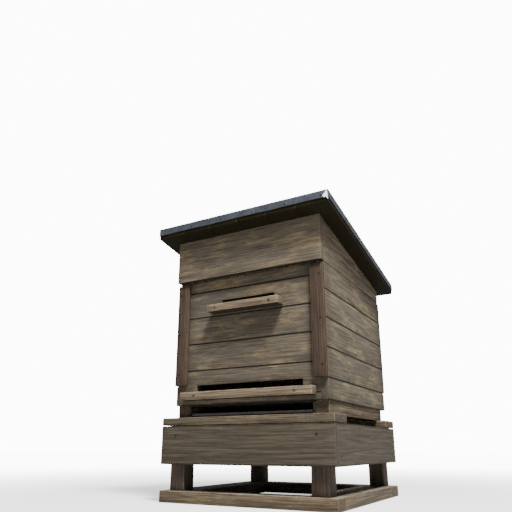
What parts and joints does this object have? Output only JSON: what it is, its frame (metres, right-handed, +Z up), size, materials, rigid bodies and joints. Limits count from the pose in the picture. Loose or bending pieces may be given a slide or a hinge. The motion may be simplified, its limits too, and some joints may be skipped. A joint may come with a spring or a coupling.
{
  "type": "beehive",
  "caption": "Wooden beehive box of tongue-and-groove boards on a low stand, with a pent roof, two entrance slits with landing boards, and hanging frames.",
  "frame": {"origin": "on the ground under the middle of the roof, which is the widest piece", "axes": "+Z up; -Y towards the entrances at the front; +X to the right of a keeper facing the entrances"},
  "size_m": [0.5936, 0.6202, 0.8337],
  "materials": {
    "base_wood": "weathered plank with knots",
    "leg_wood": "dark weathered upright",
    "apron_wood": "weathered board",
    "plank_wood": "weathered plank",
    "batten_wood": "dark upright batten",
    "landing_wood": "paler, sun-bleached board",
    "box_wood": "weathered tongue-and-groove boards",
    "roof_box_wood": "weathered board",
    "roof_deck_wood": "dark, greenish brown roof boards",
    "roof_sheet": "slate grey sheet, worn at the corners",
    "floor_wood": "weathered rail",
    "mesh_steel": "woven wire",
    "tray_steel": "dull zinc-coated sheet",
    "rest_steel": "zinc-coated strip",
    "frame_pine": "planed pine with wax foundation",
    "crown_ply": "propolis-stained ply",
    "screw_steel": "rusted heads",
    "nail_steel": "dark heads"
  },
  "bodies": {
    "stand": {"base_front": "base_wood", "base_back": "base_wood", "base_left": "base_wood", "base_right": "base_wood", "leg_front_left": "leg_wood", "leg_front_right": "leg_wood", "leg_back_left": "leg_wood", "leg_back_right": "leg_wood", "apron_front": "apron_wood", "apron_back": "apron_wood", "apron_left": "apron_wood", "apron_right": "apron_wood", "plank_front": "plank_wood", "plank_back": "plank_wood", "stand_screws": "screw_steel"},
    "floor": {"floor_rail_left": "floor_wood", "floor_rail_right": "floor_wood", "floor_rail_back": "floor_wood", "floor_mesh": "mesh_steel"},
    "tray": {"inspection_tray": "tray_steel"},
    "brood_box": {"box_wall_front": "box_wood", "box_wall_back": "box_wood", "box_wall_left": "box_wood", "box_wall_right": "box_wood", "batten_front_left": "batten_wood", "batten_front_right": "batten_wood", "batten_back_left": "batten_wood", "batten_back_right": "batten_wood", "landing_board_lower": "landing_wood", "landing_board_upper": "landing_wood", "frame_rest_front": "rest_steel", "frame_rest_back": "rest_steel", "box_screws": "screw_steel"},
    "crown": {"crown_board": "crown_ply"},
    "roof": {"roof_box_front": "roof_box_wood", "roof_box_back": "roof_box_wood", "roof_box_left": "roof_box_wood", "roof_box_right": "roof_box_wood", "roof_deck": "roof_deck_wood", "roof_cover": "roof_sheet", "roof_nails": "nail_steel"},
    "frame_01": {"frame_01": "frame_pine"},
    "frame_02": {"frame_02": "frame_pine"},
    "frame_03": {"frame_03": "frame_pine"},
    "frame_04": {"frame_04": "frame_pine"},
    "frame_05": {"frame_05": "frame_pine"},
    "frame_06": {"frame_06": "frame_pine"},
    "frame_07": {"frame_07": "frame_pine"},
    "frame_08": {"frame_08": "frame_pine"},
    "frame_09": {"frame_09": "frame_pine"},
    "frame_10": {"frame_10": "frame_pine"},
    "frame_11": {"frame_11": "frame_pine"},
    "frame_12": {"frame_12": "frame_pine"}
  },
  "joints": [
    {"name": "floor_lift", "type": "slide", "parent": "stand", "child": "floor", "axis": [0, 0, 1], "range_m": [0, 0.1]},
    {"name": "tray_draw", "type": "slide", "parent": "floor", "child": "tray", "axis": [0, -1, 0], "range_m": [0, 0.35]},
    {"name": "box_lift", "type": "slide", "parent": "floor", "child": "brood_box", "axis": [0, 0, 1], "range_m": [0, 0.15]},
    {"name": "crown_lift", "type": "slide", "parent": "brood_box", "child": "crown", "axis": [0, 0, 1], "range_m": [0, 0.4]},
    {"name": "roof_lift", "type": "slide", "parent": "crown", "child": "roof", "axis": [0, 0, 1], "range_m": [0, 0.3]},
    {"name": "frame_01_lift", "type": "slide", "parent": "brood_box", "child": "frame_01", "axis": [0, 0, 1], "range_m": [0, 0.32]},
    {"name": "frame_02_lift", "type": "slide", "parent": "brood_box", "child": "frame_02", "axis": [0, 0, 1], "range_m": [0, 0.32]},
    {"name": "frame_03_lift", "type": "slide", "parent": "brood_box", "child": "frame_03", "axis": [0, 0, 1], "range_m": [0, 0.32]},
    {"name": "frame_04_lift", "type": "slide", "parent": "brood_box", "child": "frame_04", "axis": [0, 0, 1], "range_m": [0, 0.32]},
    {"name": "frame_05_lift", "type": "slide", "parent": "brood_box", "child": "frame_05", "axis": [0, 0, 1], "range_m": [0, 0.32]},
    {"name": "frame_06_lift", "type": "slide", "parent": "brood_box", "child": "frame_06", "axis": [0, 0, 1], "range_m": [0, 0.32]},
    {"name": "frame_07_lift", "type": "slide", "parent": "brood_box", "child": "frame_07", "axis": [0, 0, 1], "range_m": [0, 0.32]},
    {"name": "frame_08_lift", "type": "slide", "parent": "brood_box", "child": "frame_08", "axis": [0, 0, 1], "range_m": [0, 0.32]},
    {"name": "frame_09_lift", "type": "slide", "parent": "brood_box", "child": "frame_09", "axis": [0, 0, 1], "range_m": [0, 0.32]},
    {"name": "frame_10_lift", "type": "slide", "parent": "brood_box", "child": "frame_10", "axis": [0, 0, 1], "range_m": [0, 0.32]},
    {"name": "frame_11_lift", "type": "slide", "parent": "brood_box", "child": "frame_11", "axis": [0, 0, 1], "range_m": [0, 0.32]},
    {"name": "frame_12_lift", "type": "slide", "parent": "brood_box", "child": "frame_12", "axis": [0, 0, 1], "range_m": [0, 0.32]}
  ],
  "couplings": [
    {"joint": "frame_01_lift", "follows": "crown_lift", "ratio": 0.8},
    {"joint": "frame_02_lift", "follows": "crown_lift", "ratio": 0.8},
    {"joint": "frame_03_lift", "follows": "crown_lift", "ratio": 0.8},
    {"joint": "frame_04_lift", "follows": "crown_lift", "ratio": 0.8},
    {"joint": "frame_05_lift", "follows": "crown_lift", "ratio": 0.8},
    {"joint": "frame_06_lift", "follows": "crown_lift", "ratio": 0.8},
    {"joint": "frame_07_lift", "follows": "crown_lift", "ratio": 0.8},
    {"joint": "frame_08_lift", "follows": "crown_lift", "ratio": 0.8},
    {"joint": "frame_09_lift", "follows": "crown_lift", "ratio": 0.8},
    {"joint": "frame_10_lift", "follows": "crown_lift", "ratio": 0.8},
    {"joint": "frame_11_lift", "follows": "crown_lift", "ratio": 0.8},
    {"joint": "frame_12_lift", "follows": "crown_lift", "ratio": 0.8}
  ]
}
